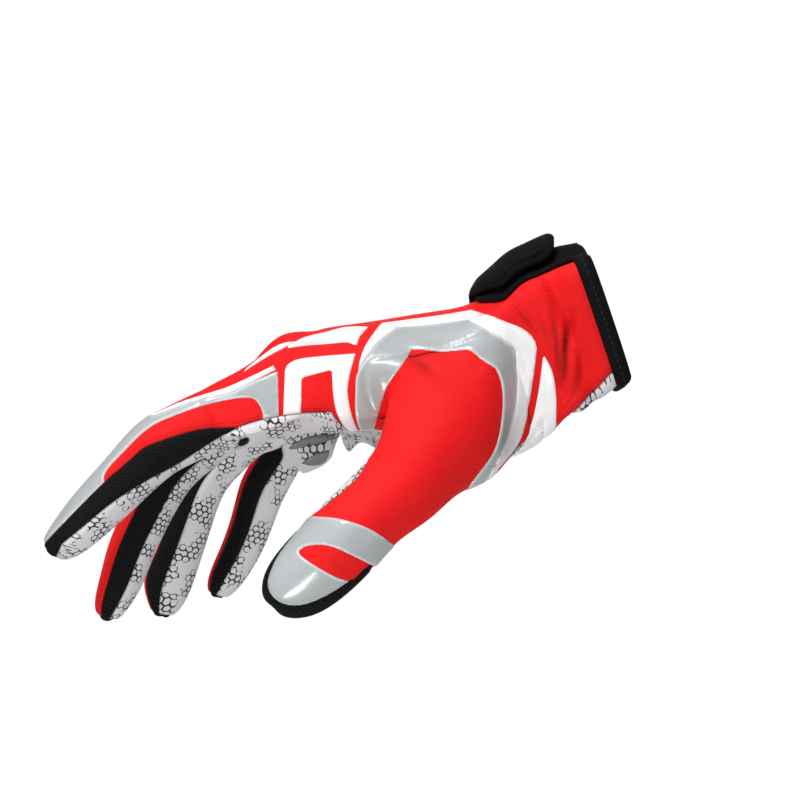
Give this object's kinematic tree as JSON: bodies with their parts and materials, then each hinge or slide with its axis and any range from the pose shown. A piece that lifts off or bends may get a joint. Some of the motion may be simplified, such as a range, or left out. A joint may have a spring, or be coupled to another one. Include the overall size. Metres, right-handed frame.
{
  "type": "football receiver glove",
  "caption": "Right-hand receiver glove in its worn shape: thin sewn panels round an open hollow, bonded films on the back, a bound cuff and a wrist strap.",
  "frame": {"origin": "middle of the cuff's opening, where the wrist goes in", "axes": "+X runs back along the wearer's arm, -Y is the thumb's side and +Z is the side of the back of the hand"},
  "size_m": [0.1957, 0.1138, 0.131],
  "materials": {
    "stretch_cloth": "fine ribbed knit",
    "grip_cloth": "smooth tacky coating",
    "mesh_cloth": "coarse mesh",
    "grey_film": "glossy bonded film",
    "white_film": "satin bonded film",
    "binding": "soft folded tape",
    "fastener": "felted loop cloth"
  },
  "bodies": {
    "root": {"back_panel": "stretch_cloth", "thumb_back_panel": "stretch_cloth", "palm_panel": "grip_cloth", "thumb_palm_panel": "grip_cloth", "index_outer_gusset": "mesh_cloth", "index_middle_gusset": "mesh_cloth", "middle_ring_gusset": "mesh_cloth", "ring_little_gusset": "mesh_cloth", "little_outer_gusset": "mesh_cloth", "thumb_gusset": "mesh_cloth", "thumb_cap_film": "grey_film", "thumb_arch_film": "grey_film", "index_film": "grey_film", "thumb_border_film": "white_film", "wrist_fin_film": "white_film", "knuckle_frame_film": "white_film", "knuckle_band_film": "white_film", "index_stripe_film": "white_film", "cuff_binding": "binding", "closure_patch": "fastener", "wrist_strap": "fastener"}
  },
  "joints": []
}
